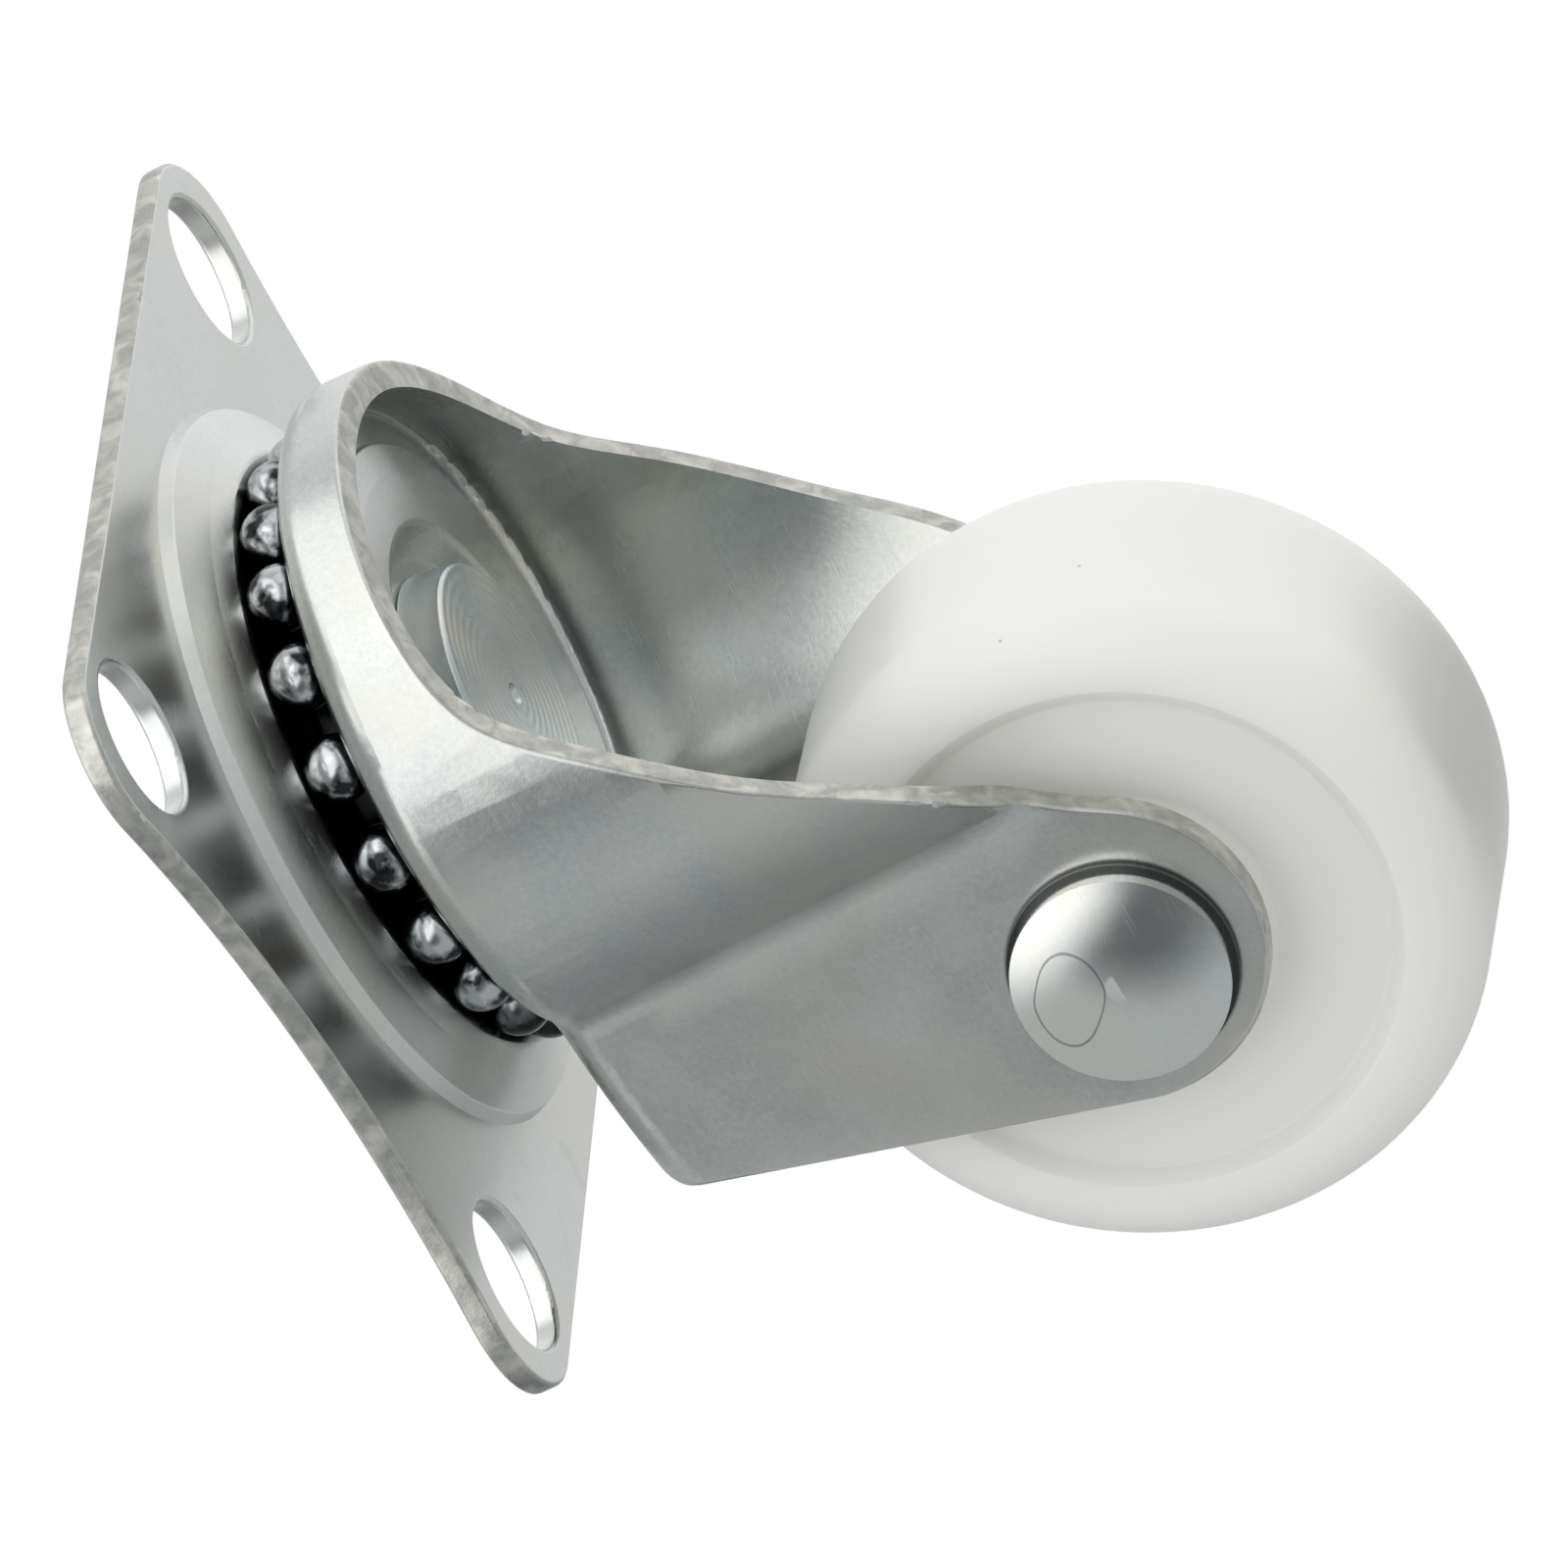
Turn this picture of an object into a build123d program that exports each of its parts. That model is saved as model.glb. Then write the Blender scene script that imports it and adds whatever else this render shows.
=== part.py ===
from build123d import *
from math import atan2, cos, degrees, radians, sin, sqrt, tan
import os

# A light swivel caster: a pressed top plate, a fork that turns on two rows of
# loose balls about a riveted kingpin, and a plastic wheel on a riveted axle.
# Millimetres. Z is up, the origin is the middle of the top plate's upper face,
# and the four holes lie 40 mm apart along X and 50 mm apart along Y.

# Top plate
plate_length = 64.0         # along Y, over the ears
plate_width = 52.0          # along X, between the straight sides
plate_sheet = 1.5
plate_waist = 57.8          # along Y, where the short sides curve in
ear_round = 5.7
hole_spacing_x = 40.0
hole_spacing_y = 50.0
hole_diameter = 9.0
hole_rim_round = 0.3
dish_radius = 21.6          # foot of the step round the pressed raceway
dish_step = 0.8
dish_step_run = 0.8
dish_slope_run = 2.2
dish_slope_drop = 1.05
dish_round = 2.0
step_round = 0.5
floor_edge_inset = 0.4      # the dish's floor ends this far inside the ball groove's rim
floor_round = 0.2
press_lead = 0.45           # upper corners of the dish lie inside the lower ones, in sheets

# Two rows of loose balls
upper_ball_count = 20
upper_ball_diameter = 3.97
upper_race_radius = 16.5
upper_race_height = -5.8    # height of the ball centres
upper_first_azimuth = 165.6 # from the fork's trailing side to the first ball
ball_drift = 2.0            # loose balls stray this many degrees from even spacing
drift_waves = 3
lower_ball_count = 24
lower_ball_diameter = 2.5
lower_race_radius = 11.3
ball_play = 0.015           # gap between a ball and its race
upper_groove_depth = 0.25
crown_groove_depth = 0.4
lower_groove_depth = 0.06

# Kingpin and the race cap that it holds
kingpin_diameter = 11.0
spigot_diameter = 8.4
kingpin_head_diameter = 17.0
kingpin_head_height = 2.8
kingpin_head_taper = 0.35
kingpin_head_round = 0.3
dimple_radius = 0.7
dimple_depth = 0.35
rivet_end_diameter = 13.0
rivet_end_height = 1.3
rivet_end_round = 0.9
shank_clearance = 0.03
cap_radius = 16.2
cap_flange_radius = 9.6
cap_flange_sheet = 1.2
cap_crest_drop = 1.4        # the ball channel hangs this far below the flange
cap_crest_radius = 14.2
cap_rim_sheet = 0.6
cap_clearance = 0.15
cap_flange_round = 0.5
cap_crest_round = 0.9
cap_shoulder_round = 1.2
cap_rim_round = 0.25
channel_foot = 0.6          # the channel's inner wall leans out this far at its foot
channel_lip = 0.4           # and in this far at its lip
channel_round = 0.1

# Fork, a deep drawn cup with two flat legs
swivel_at_rest = 6.2        # azimuth of the trailing side
fork_sheet = 1.8
drum_radius = 20.5
drum_draft = 1.2            # loss of radius down to the leg ends
shoulder_radius = 14.0      # tighter arc that leads the drum into a flat leg
shoulder_azimuth = 65.0
leg_bend_radius = 2.5
leg_half_width = 13.4       # middle plane to the outer face of a leg
rim_round = 2.0
inner_round = 0.5
crown_hole_radius = 7.0
plateau_radius = 14.2
plateau_rise = 2.9
plateau_wall = 1.4
plateau_round = 0.6
recess_round = 0.3
plateau_edge_round = 0.1
droop_start = 14.0          # behind this the crown sags towards the rear edge
droop_radius = 74.0
rear_lean = 13.4            # slope of the rear edge from upright, in degrees
rear_corner_round = 2.0
skirt_height = -12.1        # lower edge of the cup at the front
front_edge = [(-12.3, -13.0), (-6.7, -15.1), (-2.5, -19.5), (4.0, -27.2), (10.2, -35.1), (14.2, -38.95)]
leg_end_radius = 9.15
leg_end_lead = 0.9          # the leg end's middle lies this far ahead of the axle
leg_end_rise = 0.65         # and this far above it
leg_end_start = 212.0       # azimuth on the leg end where the front edge runs into it

# Axle and wheel
trail = 24.9                # swivel axis to axle
axle_height = -38.06
axle_diameter = 6.0
axle_head_diameter = 12.4
axle_head_rim = 1.4
axle_head_dome = 0.8
axle_far_diameter = 10.4
axle_far_rim = 0.5
axle_far_dome = 1.3
boss_diameter = 13.0
boss_height = 0.4
sleeve_diameter = 8.0
wheel_diameter = 40.0
wheel_width = 20.8
shoulder_land = 0.25        # flat ring between the disc's lip and the rounded shoulder
disc_diameter = 30.9
disc_recess = 1.0
disc_slope = 0.9
disc_round = 0.4
disc_lip_round = 0.15
hub_diameter = 15.0
hub_width = 22.4
running_clearance = 0.05

# Places that follow from the sizes above
ear_x = plate_width / 2 - ear_round
ear_y = plate_length / 2 - ear_round
waist_drop = plate_waist / 2 - ear_y
waist_radius = (ear_x ** 2 + waist_drop ** 2 - ear_round ** 2) / (2 * (ear_round - waist_drop))
upper_ball_radius = upper_ball_diameter / 2
lower_ball_radius = lower_ball_diameter / 2
upper_groove_radius = upper_ball_radius + ball_play
lower_groove_radius = lower_ball_radius + ball_play
plate_floor = upper_race_height + upper_groove_radius - upper_groove_depth
crown_height = upper_race_height - upper_groove_radius + crown_groove_depth
plateau_top = crown_height + plateau_rise
plateau_under = plateau_top - fork_sheet
crown_under = crown_height - fork_sheet
lower_race_height = plateau_under + lower_groove_depth - lower_groove_radius
cap_floor = lower_race_height - lower_groove_radius + lower_groove_depth
flange_top = lower_race_height
flange_under = flange_top - cap_flange_sheet
cap_hole_radius = kingpin_diameter / 2 + shank_clearance
wheel_shoulder = (wheel_diameter - disc_diameter) / 2 - shoulder_land
leg_inner = leg_half_width - fork_sheet
boss_face = leg_half_width + boss_height
reach = 2 * drum_radius     # past every edge of the fork


def turned(points, rounds):
    """body turned about Z from (radius, height) corners, each with its own round"""
    outline = FilletPolyline(*points, radius=rounds, close=True)
    return revolve(Plane.XZ * make_face(outline), Axis.Z)


def on_axle(body):
    """lay a body turned about Z on the axle's line, with its top towards +Y"""
    return Pos(trail, 0, axle_height) * Rot(-90, 0, 0) * body


def groove(ring_radius, height, groove_radius):
    """ring that cuts a ball groove"""
    return Pos(0, 0, height) * Torus(ring_radius, groove_radius)


def top_plate():
    outline = Rectangle(plate_width, plate_length + waist_radius)
    for side in (1, -1):
        outline -= Pos(0, side * (plate_waist / 2 + waist_radius)) * Circle(waist_radius)
    outline = outline.face()
    outline = fillet(outline.vertices(), ear_round)
    blank = extrude(outline, -plate_sheet)
    for place in GridLocations(hole_spacing_x, hole_spacing_y, 2, 2):
        blank -= place * Cylinder(hole_diameter / 2, 4 * plate_sheet)
    rims = blank.edges().filter_by(GeomType.CIRCLE)
    rims = rims.filter_by(lambda edge: abs(edge.radius - hole_diameter / 2) < ball_play)
    blank = fillet(rims, hole_rim_round)
    step_top = dish_radius + dish_step_run
    blank -= Cylinder(step_top, 4 * plate_sheet)
    slope_foot = dish_radius - dish_slope_run
    step_under = -plate_sheet - dish_step
    slope_under = step_under - dish_slope_drop
    floor_edge = upper_race_radius + upper_groove_radius - floor_edge_inset
    offset = press_lead * plate_sheet
    hole = spigot_diameter / 2 + shank_clearance
    corners = [(hole, plate_floor), (floor_edge, plate_floor), (slope_foot, slope_under)]
    corners += [(dish_radius, step_under), (step_top, -plate_sheet), (step_top, 0), (step_top - offset, 0)]
    corners += [(dish_radius - offset, step_under + plate_sheet)]
    corners += [(slope_foot - offset, slope_under + plate_sheet)]
    corners += [(floor_edge - offset, plate_floor + plate_sheet), (hole, plate_floor + plate_sheet)]
    rounds = [0, floor_round, dish_round, step_round, 0]
    rounds += [0, step_round, step_round, dish_round, floor_round, 0]
    dish = turned(corners, rounds) - groove(upper_race_radius, upper_race_height, upper_groove_radius)
    return blank + dish


def kingpin():
    shank = kingpin_diameter / 2
    spigot = spigot_diameter / 2
    head = kingpin_head_diameter / 2
    head_under = flange_under - kingpin_head_height
    dish_top = plate_floor + plate_sheet
    rivet = rivet_end_diameter / 2
    corners = [(0, head_under), (head - kingpin_head_taper, head_under), (head, flange_under)]
    corners += [(shank, flange_under), (shank, plate_floor), (spigot, plate_floor)]
    corners += [(spigot, dish_top), (rivet, dish_top)]
    corners += [(rivet, dish_top + rivet_end_height), (0, dish_top + rivet_end_height)]
    rounds = [0, kingpin_head_round, kingpin_head_round, 0, 0, 0, 0, 0, rivet_end_round, 0]
    sink = (dimple_radius ** 2 + dimple_depth ** 2) / (2 * dimple_depth)
    return turned(corners, rounds) - Pos(0, 0, head_under + dimple_depth - sink) * Sphere(sink)


def lower_race():
    crest = flange_under - cap_crest_drop
    rim_top = crown_under - cap_clearance
    ball_outer = lower_race_radius + lower_ball_radius
    channel = lower_race_radius - lower_ball_radius - cap_clearance
    corners = [(cap_hole_radius, flange_under), (cap_flange_radius, flange_under)]
    corners += [(cap_flange_radius + cap_crest_drop, crest), (cap_crest_radius, crest)]
    corners += [(cap_radius, rim_top - cap_rim_sheet), (cap_radius, rim_top)]
    corners += [(ball_outer + cap_clearance, rim_top), (ball_outer, cap_floor)]
    corners += [(channel + channel_foot, cap_floor), (channel - channel_lip, flange_top)]
    corners += [(cap_hole_radius, flange_top)]
    rounds = [0, cap_flange_round, cap_crest_round, cap_shoulder_round, cap_rim_round, cap_rim_round]
    rounds += [channel_round, channel_round, channel_round, floor_round, 0]
    cap = turned(corners, rounds)
    return cap - groove(lower_race_radius, lower_race_height, lower_groove_radius)


def yoke_outline(radius, inset, height):
    """plan of the fork at one height, set in from the outer face"""
    drum = radius - inset
    shoulder = shoulder_radius - inset
    bend = leg_bend_radius + inset
    flat = leg_half_width - inset
    shift = radius - shoulder_radius
    middle_x = shift * cos(radians(shoulder_azimuth))
    middle_y = shift * sin(radians(shoulder_azimuth))
    rise = flat + bend - middle_y
    bend_x = middle_x + sqrt((shoulder + bend) ** 2 - rise ** 2)
    turn = degrees(atan2(rise, bend_x - middle_x))
    lines = [CenterArc((0, 0), drum, shoulder_azimuth, 360 - 2 * shoulder_azimuth)]
    for side in (1, -1):
        shoulder_turn = side * (shoulder_azimuth - turn)
        bend_middle = (bend_x, side * (flat + bend))
        lines.append(CenterArc((middle_x, side * middle_y), shoulder, side * turn, shoulder_turn))
        lines.append(CenterArc(bend_middle, bend, side * (180 + turn), side * (90 - turn)))
        lines.append(Line((bend_x, side * flat), (reach, side * flat)))
    lines.append(Line((reach, flat), (reach, -flat)))
    return Pos(0, 0, height) * make_face(lines)


def yoke_form(inset, edge_round):
    """solid within the fork's outer face, or within its inner face when inset by the sheet"""
    floor = axle_height - 2 * leg_end_radius
    foot = yoke_outline(drum_radius - drum_draft, inset, floor)
    body = loft([foot, yoke_outline(drum_radius, inset, 0)], ruled=True)
    top = crown_height - inset
    sag = (reach - droop_start) ** 2 / (2 * droop_radius)
    flat_line = Line((-reach, top), (droop_start, top))
    sag_line = TangentArc((droop_start, top), (reach + 1, top - sag), tangent=(1, 0))
    rest = Polyline(sag_line @ 1, (reach + 1, reach), (-reach, reach), (-reach, top))
    body -= extrude(Plane.XZ * make_face([flat_line, sag_line, rest]), reach, both=True)
    rim = body.edges().filter_by(GeomType.LINE, reverse=True)
    rim = rim.filter_by(lambda edge: abs(edge.center().X) < 0.8 * reach and edge.center().Z > top - sag)
    return fillet(rim, edge_round)


def side_profile():
    """side view of the fork, as one block across it"""
    lean = radians(rear_lean)
    start = radians(leg_end_start)
    middle = Vector(trail - leg_end_lead, axle_height + leg_end_rise)
    rear_foot = middle + Vector(cos(lean), sin(lean)) * leg_end_radius
    leg_foot = middle + Vector(cos(start), sin(start)) * leg_end_radius
    leg_tip = middle + Vector(sin(lean), -cos(lean)) * leg_end_radius
    corner_x = rear_foot.X - tan(lean) * (crown_height - rear_foot.Y) - rear_corner_round
    corner_z = crown_height - (corner_x - droop_start) ** 2 / (2 * droop_radius) - rear_corner_round
    corner_mid = Vector(corner_x, corner_z)
    corner_foot = corner_mid + Vector(cos(lean), sin(lean)) * rear_corner_round
    corner_half = corner_mid + Vector(sin(lean), cos(lean)) * rear_corner_round
    corner_top = corner_mid + Vector(0, rear_corner_round)
    nose = (-drum_radius - 1, skirt_height)
    front = Spline(nose, *front_edge, leg_foot, tangents=((1, 0), (-sin(start), cos(start))))
    leg_end = ThreePointArc(leg_foot, leg_tip, rear_foot)
    back = Line(rear_foot, corner_foot)
    corner = ThreePointArc(corner_foot, corner_half, corner_top)
    rest = Polyline(corner_top, (corner_x, 0), (nose[0], 0), nose)
    return extrude(Plane.XZ * make_face([front, leg_end, back, corner, rest]), reach, both=True)


def fork():
    body = yoke_form(0, rim_round) - yoke_form(fork_sheet, inner_round)
    body &= side_profile()
    recess = plateau_radius - plateau_wall
    corners = [(crown_hole_radius, plateau_under), (recess, plateau_under), (recess, crown_under)]
    corners += [(plateau_radius + plateau_round, crown_under), (plateau_radius + plateau_round, crown_height)]
    corners += [(plateau_radius, crown_height), (plateau_radius, plateau_top)]
    corners += [(crown_hole_radius, plateau_top)]
    rounds = [0, plateau_edge_round, recess_round, 0, 0, 0, plateau_round, plateau_edge_round]
    plateau = turned(corners, rounds)
    body -= Pos(0, 0, crown_height) * Cylinder(plateau_radius + plateau_round, 3 * fork_sheet)
    body += plateau
    body -= groove(upper_race_radius, upper_race_height, upper_groove_radius)
    body -= groove(lower_race_radius, lower_race_height, lower_groove_radius)
    body += on_axle(Cylinder(boss_diameter / 2, 2 * boss_face) - Cylinder(boss_diameter / 2, 2 * leg_inner))
    body -= on_axle(Cylinder(axle_diameter / 2 + shank_clearance, 2 * reach))
    return body


def axle():
    shank = axle_diameter / 2
    head = axle_head_diameter / 2
    far = axle_far_diameter / 2
    rod = Cylinder(shank, 2 * boss_face)
    near = Pos(0, 0, boss_face) * domed_head(head, axle_head_rim, axle_head_dome)
    peened = Rot(180, 0, 0) * Pos(0, 0, boss_face) * domed_head(far, axle_far_rim, axle_far_dome)
    return on_axle(rod + near + peened)


def domed_head(radius, rim, dome):
    """low domed head that sits on the XY plane"""
    side = Polyline((0, rim + dome), (0, 0), (radius, 0), (radius, rim))
    crown = TangentArc((0, rim + dome), (radius, rim), tangent=(1, 0))
    return revolve(Plane.XZ * make_face([side, crown]), Axis.Z)


def sleeve():
    bore = Cylinder(axle_diameter / 2 + shank_clearance, reach)
    return on_axle(Cylinder(sleeve_diameter / 2, 2 * leg_inner) - bore)


def wheel():
    bore = sleeve_diameter / 2 + running_clearance
    tread = wheel_diameter / 2
    side = wheel_width / 2
    disc = disc_diameter / 2
    hub = hub_diameter / 2
    inner = side - disc_recess
    half = [(bore, hub_width / 2), (hub, hub_width / 2), (hub + disc_slope, inner)]
    half += [(disc - disc_slope, inner), (disc, side), (tread, side)]
    rounds = [0, disc_round, disc_round, disc_round, disc_lip_round, wheel_shoulder]
    corners = half + [(radius, -height) for radius, height in reversed(half)]
    return on_axle(turned(corners, rounds + rounds[::-1]))


def ball_row(name, count, ball_diameter, ring_radius, height, first, drift):
    """loose balls in one race, numbered from the first azimuth"""
    row = {}
    for index in range(count):
        step = 360 / count * index
        azimuth = radians(swivel_at_rest + first - step + drift * sin(radians(drift_waves * step)))
        place = Pos(ring_radius * cos(azimuth), ring_radius * sin(azimuth), height)
        row[f"{name}_{index + 1:02d}"] = place * Sphere(ball_diameter / 2)
    return row


at_rest = Rot(0, 0, swivel_at_rest)
nodes = {
    "top_plate": top_plate(),
    "kingpin": kingpin(),
    "lower_race": lower_race(),
    "fork": at_rest * fork(),
    "axle": at_rest * axle(),
    "axle_sleeve": at_rest * sleeve(),
    "wheel": at_rest * wheel(),
}
nodes.update(ball_row(
    "upper_ball", upper_ball_count, upper_ball_diameter, upper_race_radius, upper_race_height,
    upper_first_azimuth, ball_drift))
nodes.update(ball_row(
    "lower_ball", lower_ball_count, lower_ball_diameter, lower_race_radius, lower_race_height, 0, 0))

os.makedirs("parts", exist_ok=True)
for name, body in nodes.items():
    export_step(body, f"parts/{name}.step")
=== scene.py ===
import math

import bpy
from mathutils import Matrix, Vector
from mathutils.kdtree import KDTree


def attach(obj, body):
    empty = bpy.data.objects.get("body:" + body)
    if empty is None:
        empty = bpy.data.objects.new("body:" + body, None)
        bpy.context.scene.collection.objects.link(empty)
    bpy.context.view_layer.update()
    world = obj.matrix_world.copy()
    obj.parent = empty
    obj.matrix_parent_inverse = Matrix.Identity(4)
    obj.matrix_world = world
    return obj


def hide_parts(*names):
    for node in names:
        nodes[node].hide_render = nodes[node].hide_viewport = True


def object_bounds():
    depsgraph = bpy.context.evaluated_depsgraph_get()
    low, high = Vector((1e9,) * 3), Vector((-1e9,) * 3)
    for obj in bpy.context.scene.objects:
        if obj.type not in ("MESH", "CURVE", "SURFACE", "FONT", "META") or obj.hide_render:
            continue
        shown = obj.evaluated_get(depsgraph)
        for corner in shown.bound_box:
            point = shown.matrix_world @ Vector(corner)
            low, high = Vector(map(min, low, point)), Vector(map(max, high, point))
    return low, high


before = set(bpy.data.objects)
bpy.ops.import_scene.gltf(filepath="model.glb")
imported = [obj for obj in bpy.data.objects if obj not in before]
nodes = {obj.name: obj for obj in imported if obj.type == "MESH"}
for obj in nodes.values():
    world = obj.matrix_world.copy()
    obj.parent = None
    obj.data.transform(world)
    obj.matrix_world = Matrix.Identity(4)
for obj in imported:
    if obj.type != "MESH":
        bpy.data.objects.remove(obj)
cadBox = [list(corner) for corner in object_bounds()]
mm = 0.001
print("frame loaded:", len(nodes), "nodes")


def linear(hexColour):  # an sRGB hex colour as the linear numbers a shader takes
    channels = [int(hexColour[i:i + 2], 16) / 255 for i in (0, 2, 4)]
    return [c / 12.92 if c <= 0.04045 else ((c + 0.055) / 1.055) ** 2.4 for c in channels] + [1]


def addNode(tree, kind, inputs=None, **settings):  # a shader node with its settings, values and links
    node = tree.nodes.new("ShaderNode" + kind)
    for name, value in settings.items():
        setattr(node, name, value)
    for name, value in (inputs or {}).items():
        if isinstance(value, bpy.types.NodeSocket):
            tree.links.new(value, node.inputs[name])
        else:
            node.inputs[name].default_value = value
    return node


def newMaterial(name):
    material = bpy.data.materials.new(name)
    material.use_nodes = True
    material.node_tree.nodes.clear()
    return material, material.node_tree


def paint(names, material):  # puts one finish on CAD nodes
    for name in names:
        nodes[name].data.materials.clear()
        nodes[name].data.materials.append(material)


def distanceFrom(tree, place, middle, across):  # how far each point lies from an axis through middle
    offset = addNode(tree, "VectorMath", {0: place, 1: middle}, operation="SUBTRACT").outputs[0]
    flat = addNode(tree, "VectorMath", {0: offset, 1: across}, operation="MULTIPLY").outputs[0]
    return addNode(tree, "VectorMath", {0: flat}, operation="LENGTH").outputs["Value"]


def bandMask(tree, value, band):  # 1 between two values, fading to 0 beyond them
    inner = addNode(tree, "MapRange", {"Value": value, "From Min": band["from"] - band["fade"],
                                       "From Max": band["from"]}).outputs["Result"]
    outer = addNode(tree, "MapRange", {"Value": value, "From Min": band["to"],
                                       "From Max": band["to"] + band["fade"],
                                       "To Min": 1.0, "To Max": 0.0}).outputs["Result"]
    return addNode(tree, "Math", {0: inner, 1: outer}, operation="MULTIPLY").outputs[0]


# the fork stands 6.2 degrees round at rest, and in its own directions the axle lies here
forkTurn = math.radians(6.2)
axleMiddle = (24.9 * mm, 0, -38.06 * mm)
unturn = Matrix.Rotation(-forkTurn, 3, "Z")

# zinc-plated steel, passivated: a cool bright grey, a little cloudy, with fine crystals and a few hairline
# scratches
zincSheet = {
    "light": "e4e6e4", "dark": "d3d7d6", "warm": "dedcd3",
    "cloudSize": 9.0,  # mm across one cloud of the passivation
    "grainSize": 0.45,  # mm, the plating's crystals, drawn coarser than they are so that they show
    "patchFrom": 0.3, "patchTo": 0.7,  # the part of each noise that goes from dark to light
    "warmFrom": 0.40, "warmTo": 0.70, "warmth": 0.8,
    "roughness": (0.25, 0.31), "bump": 0.07, "wave": 1.2,
    "scratches": 0.05,
}
drawnSheet = dict(zincSheet, light="dcdedb", dark="bbc1c1", warm="d6d4ca", cloudSize=7.0,
                  grainSize=0.35, roughness=(0.24, 0.29), bump=0.15, scratches=0.02)
rivetSteel = dict(zincSheet, light="dfe2e1", dark="d2d7d7", cloudSize=5.0, roughness=(0.13, 0.18),
                  bump=0.03, wave=0.8)
kingpinSteel = dict(rivetSteel, light="dfe4e5", dark="bcc6c9", grainSize=0.8, roughness=(0.26, 0.34),
                    bump=0.16)
shearedEdge = dict(zincSheet, light="bfbfba", dark="9b9d99", cloudSize=1.0, grainSize=0.20,
                   roughness=(0.34, 0.44), bump=0.30, wave=0.8, scratches=0.2)
# hairlines about 3 mm long and 0.15 mm wide: only the crests of a noise that is drawn out three ways
hairlines = {"angles": (0.4, -1.1, 2.3), "turns": (1.0, 1.7, 0.6), "perMetre": (330, 330, 6500),
             "crestFrom": 0.76, "crestTo": 0.82, "depth": 0.15}
bumpUnit = 0.05 * mm  # the height that 1 stands for in a bump


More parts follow.
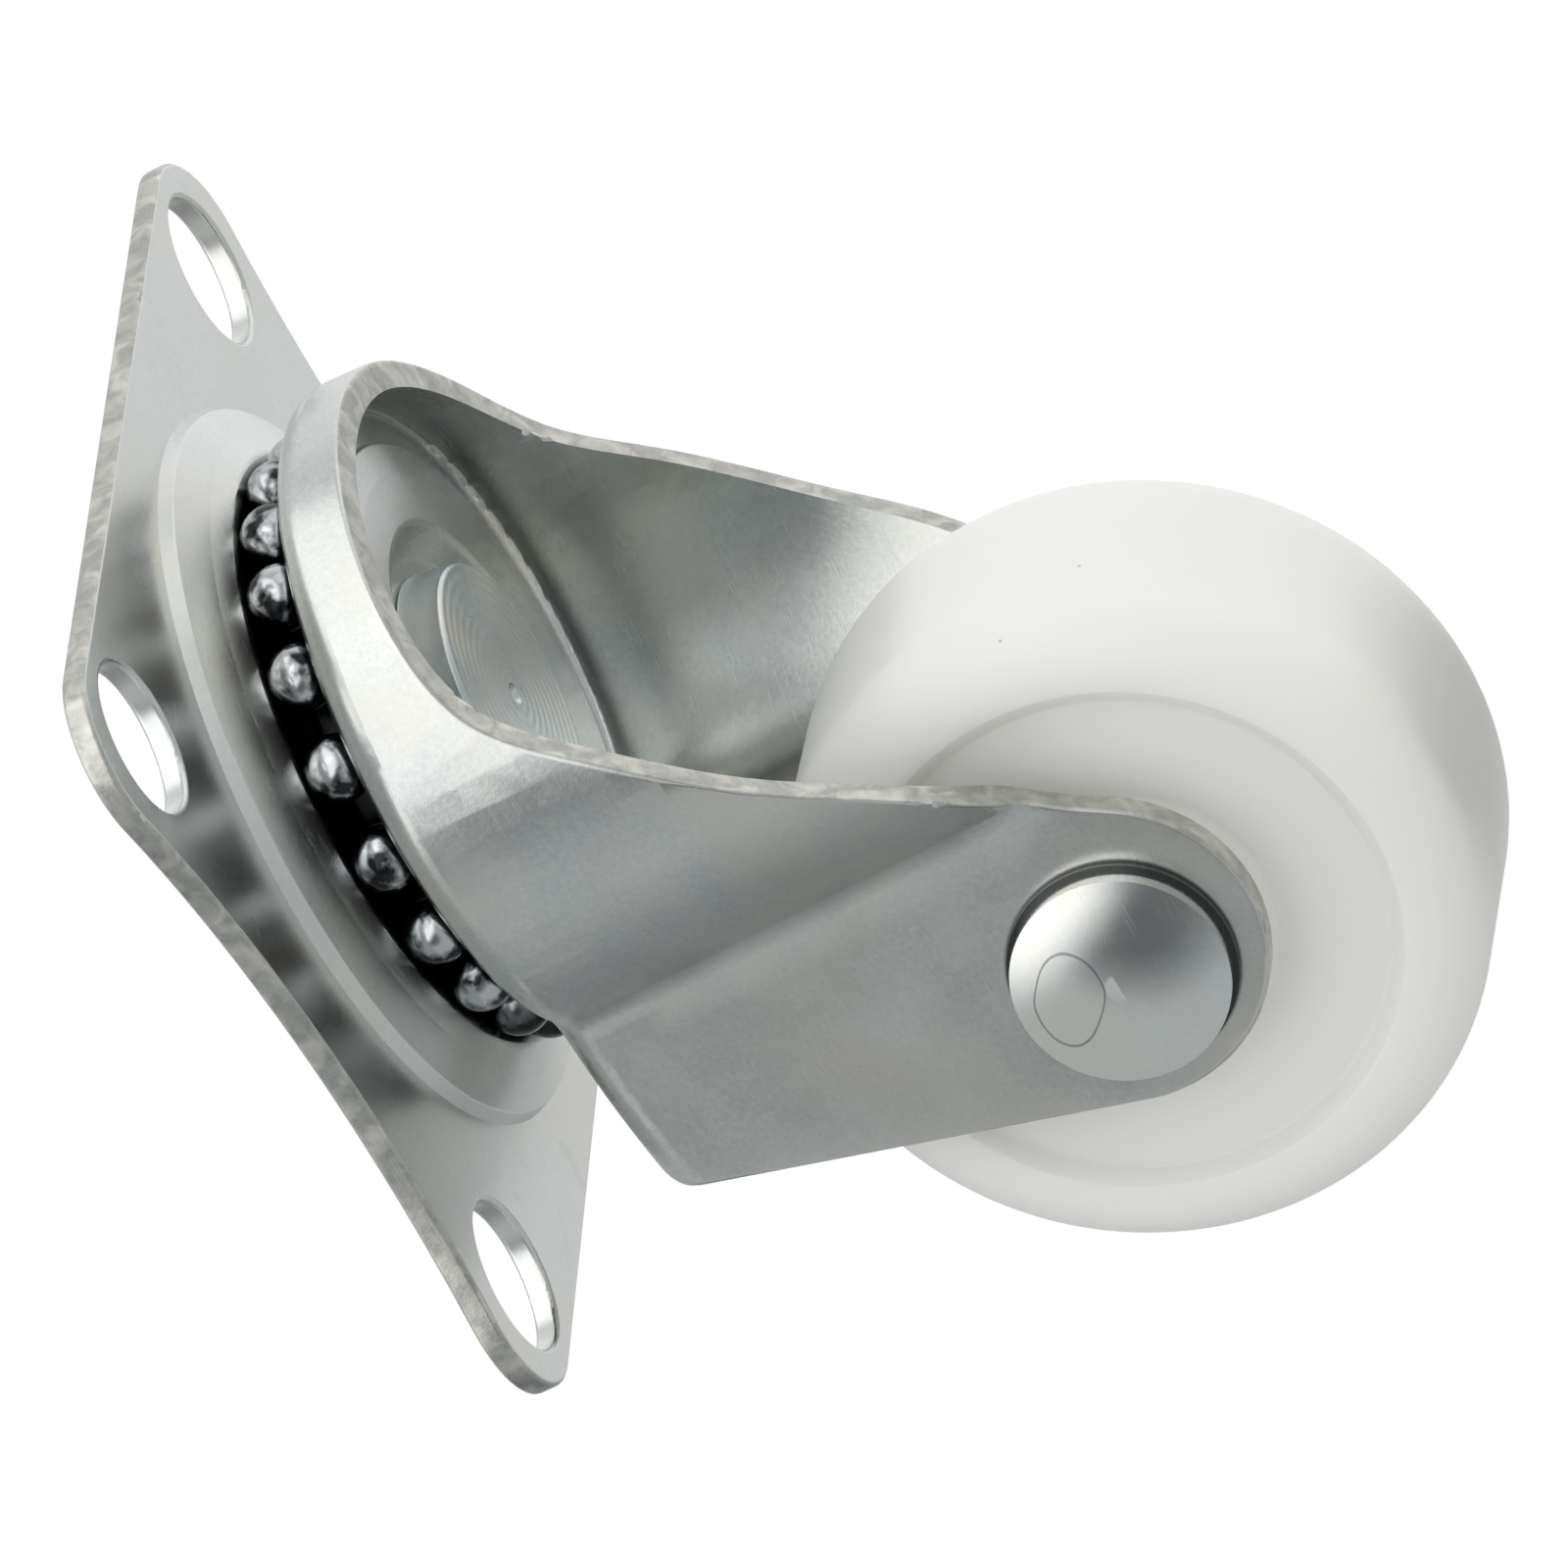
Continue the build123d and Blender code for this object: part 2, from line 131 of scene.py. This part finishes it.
def platedSteel(name, look, grease=None, gapShadeAndDirt=None, turned=None, mark=None):
    material, tree = newMaterial(name)
    place = addNode(tree, "TexCoord").outputs["Object"]
    clouds = addNode(tree, "TexNoise", {"Vector": place, "Scale": 1000 / look["cloudSize"], "Detail": 2.0,
                                        "Roughness": 0.5}).outputs["Fac"]
    warm = addNode(tree, "TexNoise", {"Vector": place, "Scale": 600 / look["cloudSize"], "Detail": 2.0,
                                      "Distortion": 0.8}).outputs["Fac"]
    grain = addNode(tree, "TexNoise", {"Vector": place, "Scale": 1000 / look["grainSize"], "Detail": 3.0,
                                       "Roughness": 0.7}).outputs["Fac"]
    scratch = 0.0
    for angle in hairlines["angles"]:
        turns = [share * angle for share in hairlines["turns"]]
        laid = addNode(tree, "Mapping", {"Vector": place, "Rotation": turns, "Scale": hairlines["perMetre"]})
        drawn = addNode(tree, "TexNoise", {"Vector": laid.outputs[0], "Scale": 1.0, "Detail": 0.0})
        crest = addNode(tree, "MapRange", {"Value": drawn.outputs["Fac"], "From Min": hairlines["crestFrom"],
                                           "From Max": hairlines["crestTo"]})
        scratch = addNode(tree, "Math", {0: crest.outputs["Result"], 1: scratch},
                          operation="MAXIMUM").outputs[0]
    mottle = addNode(tree, "Mix", {"Factor": 0.5, "A": clouds, "B": grain}).outputs[0]
    fade = addNode(tree, "MapRange", {"Value": mottle, "From Min": look["patchFrom"],
                                      "From Max": look["patchTo"]}).outputs["Result"]
    tone = addNode(tree, "Mix", {"Factor": fade, 6: linear(look["dark"]), 7: linear(look["light"])},
                   data_type="RGBA").outputs[2]
    warmth = addNode(tree, "MapRange", {"Value": warm, "From Min": look["warmFrom"],
                                        "From Max": look["warmTo"], "To Max": look["warmth"]})
    tone = addNode(tree, "Mix", {"Factor": warmth.outputs["Result"], 6: tone, 7: linear(look["warm"])},
                   data_type="RGBA").outputs[2]
    rough = addNode(tree, "MapRange", {"Value": clouds, "From Min": look["patchFrom"],
                                       "From Max": look["patchTo"],
                                       "To Min": look["roughness"][0], "To Max": look["roughness"][1]})
    roughness = addNode(tree, "Math", {0: scratch, 1: look["scratches"], 2: rough.outputs["Result"]},
                        operation="MULTIPLY_ADD").outputs[0]
    height = addNode(tree, "Math", {0: clouds, 1: look["wave"], 2: grain},
                     operation="MULTIPLY_ADD").outputs[0]
    height = addNode(tree, "Math", {0: scratch, 1: -hairlines["depth"], 2: height},
                     operation="MULTIPLY_ADD").outputs[0]
    if turned:  # rings left by the lathe or the rivet tool, about the Z axis
        radius = distanceFrom(tree, place, (0, 0, 0), (1, 1, 0))
        wave = addNode(tree, "Math", {0: radius, 1: 2 * math.pi / turned["pitch"]},
                       operation="MULTIPLY").outputs[0]
        wave = addNode(tree, "Math", {0: wave}, operation="SINE").outputs[0]
        height = addNode(tree, "Math", {0: wave, 1: turned["depth"], 2: height},
                         operation="MULTIPLY_ADD").outputs[0]
    if grease:  # black grease round the Z axis, with an edge that wanders
        radius = distanceFrom(tree, place, (0, 0, 0), (1, 1, 0))
        wander = addNode(tree, "MapRange", {"Value": warm, "To Min": -grease["wander"],
                                            "To Max": grease["wander"]})
        radius = addNode(tree, "Math", {0: radius, 1: wander.outputs["Result"]}, operation="ADD").outputs[0]
        ring = bandMask(tree, radius, grease)
        depth = addNode(tree, "SeparateXYZ", {0: place}).outputs["Z"]
        upper = addNode(tree, "MapRange", {"Value": depth, "From Min": grease["above"] - grease["rise"],
                                           "From Max": grease["above"] + grease["rise"]}).outputs["Result"]
        ring = addNode(tree, "Math", {0: ring, 1: upper}, operation="MULTIPLY").outputs[0]
        up = addNode(tree, "SeparateXYZ", {0: addNode(tree, "TexCoord").outputs["Normal"]}).outputs["Z"]
        clean = addNode(tree, "MapRange", {"Value": up, "From Min": grease["cleanFrom"] - grease["cleanFade"],
                                           "From Max": grease["cleanFrom"], "To Min": 1.0, "To Max": 0.0})
        ring = addNode(tree, "Math", {0: ring, 1: clean.outputs["Result"]}, operation="MULTIPLY").outputs[0]
        tone = addNode(tree, "Mix", {"Factor": ring, 6: tone, 7: linear(grease["colour"])},
                       data_type="RGBA").outputs[2]
    if gapShadeAndDirt or mark:
        own = addNode(tree, "VectorRotate", {"Vector": place, "Angle": -forkTurn},
                      rotation_type="Z_AXIS").outputs["Vector"]
    if gapShadeAndDirt:  # painted shade, with some dirt, in the gap round the rivet head
        ring = bandMask(tree, distanceFrom(tree, own, axleMiddle, (1, 0, 1)), gapShadeAndDirt)
        tone = addNode(tree, "Mix", {"Factor": ring, 6: tone, 7: linear(gapShadeAndDirt["colour"])},
                       data_type="RGBA").outputs[2]
    if mark:  # the closed line that the rivet tool left on the head
        bent = addNode(tree, "TexNoise", {"Vector": own, "Scale": 1000 / mark["bend"]}).outputs["Color"]
        own = addNode(tree, "VectorMath", {0: bent, 1: (mark["stray"],) * 3, 2: own},
                      operation="MULTIPLY_ADD").outputs[0]
        own = addNode(tree, "VectorMath", {0: own, 1: mark["middle"]}, operation="SUBTRACT").outputs[0]
        own = addNode(tree, "VectorRotate", {"Vector": own, "Angle": mark["turn"]},
                      rotation_type="Y_AXIS").outputs["Vector"]
        line = bandMask(tree, distanceFrom(tree, own, (0, 0, 0), mark["across"]), mark)
        tone = addNode(tree, "Mix", {"Factor": line, 6: tone, 7: linear(mark["colour"])},
                       data_type="RGBA").outputs[2]
        height = addNode(tree, "Math", {0: line, 1: -mark["depth"], 2: height},
                         operation="MULTIPLY_ADD").outputs[0]
    bump = addNode(tree, "Bump", {"Height": height, "Strength": look["bump"], "Distance": bumpUnit})
    shader = addNode(tree, "BsdfPrincipled", {"Base Color": tone, "Metallic": 1.0, "Roughness": roughness,
                                              "Normal": bump.outputs["Normal"]})
    addNode(tree, "OutputMaterial", {"Surface": shader.outputs["BSDF"]})
    return material


# black grease lies in a ring about the swivel axis, above a height. A face whose normal's z is over cleanFrom
# has none, so the plate's upper side stays clean; the fork's crown is greased on all sides
dishGrease = {"from": 11.0 * mm, "to": 17.5 * mm, "fade": 0.8 * mm, "wander": 0.5 * mm,
              "above": -9.0 * mm, "rise": 0.3 * mm, "cleanFrom": 0.5, "cleanFade": 0.1, "colour": "363839"}
crownGrease = dict(dishGrease, to=18.4 * mm, fade=0.5 * mm, above=-8.4 * mm, cleanFrom=1.2, colour="26282a")
# painted shade, with some dirt, in a ring round the rivet head on the fork
headGapShadeAndDirt = {"from": 5.0 * mm, "to": 6.45 * mm, "fade": 0.25 * mm, "colour": "4a4c4c"}
headMark = {"middle": (25.1 * mm, 0, -34.6 * mm), "turn": 0.5, "across": (0.75, 0, 1.15),
            "from": 2.25 * mm, "to": 2.30 * mm, "fade": 0.07 * mm,
            "bend": 6.0,  # mm across one bend of the line
            "stray": 1.2 * mm, "depth": 2.0, "colour": "9a9e9f"}
kingpinRings = {"pitch": 0.7 * mm, "depth": 1.2}
plateZinc = platedSteel("zincPlatedSheet", zincSheet, grease=dishGrease)
forkZinc = platedSteel("zincPlatedDrawnSheet", drawnSheet, grease=crownGrease, gapShadeAndDirt=headGapShadeAndDirt)
edgeZinc = platedSteel("zincPlatedShearedEdge", shearedEdge)
paint(["lower_race"], platedSteel("zincPlatedRaceCap", drawnSheet))
paint(["kingpin"], platedSteel("zincPlatedKingpin", kingpinSteel, turned=kingpinRings))
paint(["axle"], platedSteel("zincPlatedRivet", rivetSteel, mark=headMark))
print("plated steel done")

# sheet parts: a copy of the CAD mesh gets the rolled-over edge that a press leaves, and its sheared faces
# their finish; what counts as a sheared face is told from its place and its normal
plateEdge = {"roll": 0.30 * mm, "steps": 3, "upright": 0.3, "outside": 23.5 * mm, "offHoles": 5.2 * mm}
forkEdge = {"roll": 0.34 * mm, "steps": 4, "down": -0.3, "below": -11.5 * mm, "back": 0.35, "behind": 15 * mm,
            "square": 0.02, "offAxle": 7.5 * mm, "cutStep": 2.0 * mm, "middle": 6 * mm}
meshLook = {"weld": 0.001 * mm, "flat": math.radians(0.4), "sharp": math.radians(32), "sameFace": 0.9}


def sheetCopy(name, node, body, finishes):
    piece = bpy.data.objects.new(name, nodes[node].data.copy())
    bpy.context.scene.collection.objects.link(piece)
    bpy.ops.object.select_all(action="DESELECT")
    piece.select_set(True)
    bpy.context.view_layer.objects.active = piece
    piece.data.materials.clear()
    for material in finishes:
        piece.data.materials.append(material)
    bpy.ops.object.mode_set(mode="EDIT")
    bpy.ops.mesh.select_mode(type="FACE")
    bpy.ops.mesh.select_all(action="SELECT")
    bpy.ops.mesh.remove_doubles(threshold=meshLook["weld"])
    bpy.ops.mesh.customdata_custom_splitnormals_clear()
    bpy.ops.mesh.dissolve_limited(angle_limit=meshLook["flat"])
    bpy.ops.mesh.select_all(action="DESELECT")
    bpy.ops.object.mode_set(mode="OBJECT")
    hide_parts(node)
    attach(piece, body)
    return piece


def rollEdges(piece, edge, isOuter):  # the picked faces take the sheared finish, their outer rim is rolled
    mesh = piece.data
    bpy.ops.object.mode_set(mode="EDIT")
    piece.active_material_index = 1
    bpy.ops.object.material_slot_assign()
    bpy.ops.mesh.region_to_loop()
    bpy.ops.object.mode_set(mode="OBJECT")
    beside = {key: face for face in mesh.polygons if face.material_index == 0 for key in face.edge_keys}
    rim = [one.index for one in mesh.edges if one.select and one.key in beside and isOuter(beside[one.key])]
    bpy.ops.object.mode_set(mode="EDIT")
    bpy.ops.mesh.select_all(action="DESELECT")
    bpy.ops.object.mode_set(mode="OBJECT")
    for number in rim:
        mesh.edges[number].select = True
    bpy.ops.object.mode_set(mode="EDIT")
    bpy.ops.mesh.bevel(offset=edge["roll"], segments=edge["steps"], affect="EDGES", clamp_overlap=False,
                       material=-1)
    bpy.ops.mesh.select_mode(type="FACE")
    bpy.ops.mesh.select_all(action="DESELECT")
    bpy.ops.object.mode_set(mode="OBJECT")
    print(piece.name, "rolled edges:", len(rim))


def spot(vertex):  # a vertex's place in whole microns, to find it again in another mesh
    return tuple(round(x / mm * 1000) for x in vertex.co)


def smoothLikeNode(piece, node):  # rolled edges are shaded round, all else keeps the CAD node's shading
    bpy.ops.object.select_all(action="DESELECT")
    piece.select_set(True)
    bpy.context.view_layer.objects.active = piece
    bpy.ops.object.shade_smooth_by_angle(angle=meshLook["sharp"])
    weighted = piece.modifiers.new("weighted", "WEIGHTED_NORMAL")
    weighted.keep_sharp = True
    bpy.ops.object.modifier_apply(modifier="weighted")
    source, mesh = nodes[node].data, piece.data
    shading = {}
    for face in source.polygons:
        for corner in face.loop_indices:
            place = spot(source.vertices[source.loops[corner].vertex_index])
            pair = (face.normal.copy(), source.corner_normals[corner].vector.copy())
            shading.setdefault(place, []).append(pair)
    normals = [corner.vector.copy() for corner in mesh.corner_normals]
    carried = 0
    for face in mesh.polygons:
        for corner in face.loop_indices:
            known = shading.get(spot(mesh.vertices[mesh.loops[corner].vertex_index]), [])
            known = [pair for pair in known if pair[0].dot(face.normal) > meshLook["sameFace"]]
            if known:
                normals[corner] = max(known, key=lambda pair: pair[0].dot(face.normal))[1]
                carried += 1
    mesh.normals_split_custom_set(normals)
    print(piece.name, "corners:", len(normals), "shaded as the CAD node:", carried)


def cutEvery(piece, step, axes):  # even cuts, so that a piece's flat faces can take eased shading too
    bpy.ops.object.mode_set(mode="EDIT")
    low, high = (Vector([pick(corner[i] for corner in piece.bound_box) for i in range(3)])
                 for pick in (min, max))
    for axis in axes:
        normal = Vector([float(i == axis) for i in range(3)])
        for turn in range(1, int((high[axis] - low[axis]) / step) + 1):
            bpy.ops.mesh.select_all(action="SELECT")
            bpy.ops.mesh.bisect(plane_co=low + normal * step * turn, plane_no=normal)
    bpy.ops.mesh.select_all(action="DESELECT")
    bpy.ops.object.mode_set(mode="OBJECT")
    print(piece.name, "faces after the cuts:", len(piece.data.polygons))


# where the tools drew the sheet over a bend it is soft: the shading is averaged over the width of the bend
bendShading = {"reach": 3.2 * mm, "front": 1.0 * mm, "top": -13.0 * mm, "clear": 8.0 * mm, "alike": 0.75}


def inForkBend(place):
    own = unturn @ place
    return (own.x > bendShading["front"] and own.z < bendShading["top"]
            and (own - Vector(axleMiddle)).xz.length > bendShading["clear"])


def easeShading(piece, bend, isNear):
    mesh = piece.data
    corners, normals = [], [corner.vector.copy() for corner in mesh.corner_normals]
    for face in mesh.polygons:
        if face.material_index == 0:
            for corner in face.loop_indices:
                place = mesh.vertices[mesh.loops[corner].vertex_index].co
                corners.append((place, corner, face.area / face.loop_total))
    tree = KDTree(len(corners))
    for number, (place, _, _) in enumerate(corners):
        tree.insert(place, number)
    tree.balance()
    eased = list(normals)
    for place, corner, _ in corners:
        if isNear(place):
            total = Vector()
            for _, number, distance in tree.find_range(place, bend["reach"]):
                _, otherCorner, area = corners[number]
                other = normals[otherCorner]
                if other.dot(normals[corner]) > bend["alike"]:
                    total += other * area * (1 - distance / bend["reach"])
            if total.length > 0:
                eased[corner] = total.normalized()
    mesh.normals_split_custom_set(eased)
    print(piece.name, "shading eased over", bend["reach"] / mm, "mm")


plate = sheetCopy("pressed_plate", "top_plate", "plate", [plateZinc, edgeZinc])
holePlaces = [Vector((x * mm, y * mm)) for x in (-20, 20) for y in (-25, 25)]
for face in plate.data.polygons:  # the outline's faces stand upright, outside the dish and away from the holes
    middle = face.center.xy
    clear = (middle.length > plateEdge["outside"]
             and min((middle - hole).length for hole in holePlaces) > plateEdge["offHoles"])
    face.select = clear and abs(face.normal.z) < plateEdge["upright"]
stepShape = {"foot": 21.6 * mm, "top": 22.5 * mm, "squeeze": 0.45}
for vertex in plate.data.vertices:  # the step round the dish stands steeper than the solid's
    away = vertex.co.xy.length
    if stepShape["foot"] < away < stepShape["top"]:
        vertex.co.xy *= (stepShape["foot"] + (away - stepShape["foot"]) * stepShape["squeeze"]) / away
rollEdges(plate, plateEdge, lambda face: True)
smoothLikeNode(plate, "top_plate")

fork = sheetCopy("drawn_fork", "fork", "fork", [forkZinc, edgeZinc])
for face in fork.data.polygons:  # sheared faces stand square to the sheet and look forwards, down or back
    place, normal = unturn @ face.center, unturn @ face.normal
    clear = (place - Vector(axleMiddle)).xz.length > forkEdge["offAxle"]
    front = normal.z < forkEdge["down"] and place.z < forkEdge["below"]
    rear = normal.x > forkEdge["back"] and place.x > forkEdge["behind"]
    face.select = clear and abs(normal.y) < forkEdge["square"] and (front or rear)


def facesOut(face):  # true on the fork's outer face, whose normal points away from its middle
    outwards = unturn @ face.center - Vector((forkEdge["middle"], 0, 0))
    return outwards.xy.dot((unturn @ face.normal).xy) > 0


rollEdges(fork, forkEdge, facesOut)
cutEvery(fork, forkEdge["cutStep"], (0, 2))
smoothLikeNode(fork, "fork")
easeShading(fork, bendShading, inForkBend)
print("sheet parts done")

# hardened and polished bearing steel under a film of grease: dark, with small sharp highlights
ballLook = {
    "steel": "c4c7ca", "grease": "303234", "roughness": 0.17,
    "smear": 1.6,  # mm across one smear of grease
    "smearFrom": 0.46, "smearTo": 0.60,
    "darkerFrom": 9.0 * mm, "darkerTo": 12.0 * mm,  # from here on, along x, the balls are darker
}
material, tree = newMaterial("greasedBearingSteel")
place = addNode(tree, "TexCoord").outputs["Object"]
smear = addNode(tree, "TexNoise", {"Vector": place, "Scale": 1000 / ballLook["smear"], "Detail": 3.0})
film = addNode(tree, "MapRange", {"Value": smear.outputs["Fac"], "From Min": ballLook["smearFrom"],
                                  "From Max": ballLook["smearTo"]})
along = addNode(tree, "SeparateXYZ", {0: place}).outputs["X"]
darkerAlongX = addNode(tree, "MapRange", {"Value": along, "From Min": ballLook["darkerFrom"],
                                    "From Max": ballLook["darkerTo"]})
film = addNode(tree, "Math", {0: film.outputs["Result"], 1: darkerAlongX.outputs["Result"]}, operation="MAXIMUM")
tone = addNode(tree, "Mix", {"Factor": film.outputs[0], 6: linear(ballLook["steel"]),
                             7: linear(ballLook["grease"])}, data_type="RGBA").outputs[2]
shader = addNode(tree, "BsdfPrincipled", {"Base Color": tone, "Metallic": 1.0,
                                          "Roughness": ballLook["roughness"]})
addNode(tree, "OutputMaterial", {"Surface": shader.outputs["BSDF"]})
balls = [name for name in nodes if "_ball_" in name]
paint(balls + ["axle_sleeve"], material)
print("balls done:", len(balls))

# moulded white plastic, polished in the mould: soft light comes out of it, under a dull shine, with a few
# specks about 0.2 mm across
plasticLook = {
    "white": "f6f6f2", "roughness": 0.34, "uneven": 0.06,
    "flow": 6.0,  # mm across one patch of the mould's flow
    "speck": "8f8e88", "speckStrength": 0.8,
    "speckEvery": 4.0,  # mm between two specks, most of which lie under the surface
    "speckFrom": 0.018, "speckTo": 0.034,  # shares of that distance
    "inside": 0.8, "insideReach": 3 * mm, "insideTint": (1.0, 1.0, 0.92),
}
material, tree = newMaterial("mouldedWhitePlastic")
place = addNode(tree, "TexCoord").outputs["Object"]
flow = addNode(tree, "TexNoise", {"Vector": place, "Scale": 1000 / plasticLook["flow"], "Detail": 2.0})
dull = addNode(tree, "MapRange", {"Value": flow.outputs["Fac"],
                                  "To Min": plasticLook["roughness"] - plasticLook["uneven"],
                                  "To Max": plasticLook["roughness"] + plasticLook["uneven"]})
cells = addNode(tree, "TexVoronoi", {"Vector": place, "Scale": 1000 / plasticLook["speckEvery"]})
speck = addNode(tree, "MapRange", {"Value": cells.outputs["Distance"], "From Min": plasticLook["speckFrom"],
                                   "From Max": plasticLook["speckTo"],
                                   "To Min": plasticLook["speckStrength"], "To Max": 0.0})
tone = addNode(tree, "Mix", {"Factor": speck.outputs["Result"], 6: linear(plasticLook["white"]),
                             7: linear(plasticLook["speck"])}, data_type="RGBA").outputs[2]
shader = addNode(tree, "BsdfPrincipled", {"Base Color": tone, "Roughness": dull.outputs["Result"],
                                          "Subsurface Weight": plasticLook["inside"],
                                          "Subsurface Radius": plasticLook["insideTint"],
                                          "Subsurface Scale": plasticLook["insideReach"]})
addNode(tree, "OutputMaterial", {"Surface": shader.outputs["BSDF"]})
paint(["wheel"], material)
print("wheel done")

# the stage: a pale floor under the wheel. The photograph looks up from below it, so it is clear from below,
# throws no shadow and doesn't show in the metal
stageLook = {"floorSize": 1.2, "floor": "e8e8e6", "drop": 0.05 * mm}
lowest = cadBox[0][2]
bpy.ops.object.select_all(action="DESELECT")
bpy.ops.mesh.primitive_plane_add(size=stageLook["floorSize"], location=(0, 0, lowest - stageLook["drop"]))
floor = bpy.context.active_object
floor.name = "floor"
material, tree = newMaterial("paleFloor")
geometry = addNode(tree, "NewGeometry")
path = addNode(tree, "LightPath")
matt = addNode(tree, "BsdfDiffuse", {"Color": linear(stageLook["floor"])})
clear = addNode(tree, "BsdfTransparent")
hidden = addNode(tree, "Math", {0: geometry.outputs["Backfacing"], 1: path.outputs["Is Shadow Ray"]},
                 operation="MAXIMUM")
hidden = addNode(tree, "Math", {0: hidden.outputs[0], 1: path.outputs["Is Glossy Ray"]}, operation="MAXIMUM")
mixed = addNode(tree, "MixShader", {0: hidden.outputs[0], 1: matt.outputs[0], 2: clear.outputs[0]})
addNode(tree, "OutputMaterial", {"Surface": mixed.outputs[0]})
floor.data.materials.append(material)

# the photograph's camera, and which way its picture's right, its down and its view lie
cameraLook = {
    "place": (-473.99 * mm, 935.42 * mm, -359.58 * mm),
    "right": (0.503328, -0.049877, -0.862655),
    "down": (0.744105, 0.532544, 0.403367),
    "forward": (0.439283, -0.844931, 0.305158),
    "lens": 453.28, "sensor": 36,
}
right, down, forward = (Vector(cameraLook[side]) for side in ("right", "down", "forward"))
turn = Matrix((right, -down, -forward)).transposed()
camera = bpy.data.objects.new("camera", bpy.data.cameras.new("camera"))
bpy.context.scene.collection.objects.link(camera)
camera.data.lens = cameraLook["lens"]
camera.data.sensor_width = cameraLook["sensor"]
camera.location = cameraLook["place"]
camera.rotation_mode = "QUATERNION"
camera.rotation_quaternion = turn.to_quaternion()
bpy.context.scene.camera = camera

# the room, in ways given as right, up and to the camera: a white backdrop beyond and above the object, a white
# screen to the left of it and, where metal shows them, a dimmer room with two dark places. Each place fades
# in between two cosines of the angle from its middle; what isn't metal is lit less from under the object
roomLook = {"lit": "e7e9e9", "litUnder": "949696", "seen": "bcbfc0", "dark": "6c6f71", "screenGlare": 1.5,
            "backdrop": (0.0, 1.0, -1.0), "backdropFrom": 0.55, "backdropTo": 0.93,
            "screen": (-0.85, 0.10, 0.50), "screenFrom": 0.50, "screenTo": 0.66,
            "shade": (-0.12, -0.54, 0.82), "shadeFrom": 0.89, "shadeTo": 0.98,
            "under": (0.21, -0.85, -0.48), "underFrom": 0.78, "underTo": 1.10, "underLit": 0.0}
world = bpy.data.worlds.new("studio")
world.use_nodes = True
bpy.context.scene.world = world
tree = world.node_tree
tree.nodes.clear()
path = addNode(tree, "LightPath")
way = addNode(tree, "TexCoord").outputs["Generated"]
facing, masks = {}, {}
for name in ("backdrop", "screen", "shade", "under"):
    middle = (turn @ Vector(roomLook[name])).normalized()
    facing[name] = addNode(tree, "VectorMath", {0: way, 1: tuple(middle)},
                           operation="DOT_PRODUCT").outputs["Value"]
    masks[name] = addNode(tree, "MapRange", {"Value": facing[name], "From Min": roomLook[name + "From"],
                                             "From Max": roomLook[name + "To"]}).outputs["Result"]
dim = addNode(tree, "Math", {0: masks["shade"], 1: masks["under"]}, operation="MAXIMUM").outputs[0]
seen = addNode(tree, "Mix", {"Factor": dim, 6: linear(roomLook["seen"]), 7: linear(roomLook["dark"])},
               data_type="RGBA").outputs[2]
low = addNode(tree, "MapRange", {"Value": facing["under"], "From Min": roomLook["underLit"],
                                 "From Max": 1.0}).outputs["Result"]
lit = addNode(tree, "Mix", {"Factor": low, 6: linear(roomLook["lit"]), 7: linear(roomLook["litUnder"])},
              data_type="RGBA").outputs[2]
room = addNode(tree, "Mix", {"Factor": path.outputs["Is Glossy Ray"], 6: lit, 7: seen},
               data_type="RGBA").outputs[2]
shown = masks["backdrop"]
for white in (masks["screen"], path.outputs["Is Camera Ray"], path.outputs["Is Transmission Ray"]):
    shown = addNode(tree, "Math", {0: shown, 1: white}, operation="MAXIMUM").outputs[0]
tone = addNode(tree, "Mix", {"Factor": shown, 6: room, 7: (1, 1, 1, 1)}, data_type="RGBA").outputs[2]
glare = addNode(tree, "Math", {0: masks["screen"], 1: path.outputs["Is Glossy Ray"]},
                operation="MULTIPLY").outputs[0]
glare = addNode(tree, "MapRange", {"Value": glare, "To Min": 1.0, "To Max": roomLook["screenGlare"]})
around = addNode(tree, "Background", {"Color": tone, "Strength": glare.outputs["Result"]})
addNode(tree, "OutputWorld", {"Surface": around.outputs[0]})
print("stage and room done")

# weak softboxes, placed from the object's middle: right, up and towards the camera, in metres
softboxes = {
    "leftBox": {"place": (-0.55, 0.45, 0.80), "size": (0.30, 0.30), "power": 0.25},
    "topBox": {"place": (0.10, 0.75, 0.15), "size": (0.80, 0.50), "power": 0.6},
}
centre = Vector((8 * mm, 0, -28 * mm))
for name, box in softboxes.items():
    lamp = bpy.data.objects.new(name, bpy.data.lights.new(name, "AREA"))
    bpy.context.scene.collection.objects.link(lamp)
    lamp.data.shape = "RECTANGLE"
    lamp.data.size, lamp.data.size_y = box["size"]
    lamp.data.energy = box["power"]
    away = (turn @ Vector(box["place"])).normalized()
    across = (-down).cross(away).normalized()
    lamp.matrix_world = Matrix.Translation(centre + turn @ Vector(box["place"])) @ Matrix(
        (across, away.cross(across), away)).transposed().to_4x4()
bpy.context.scene.view_settings.view_transform = "Standard"
print("camera and lamps done")
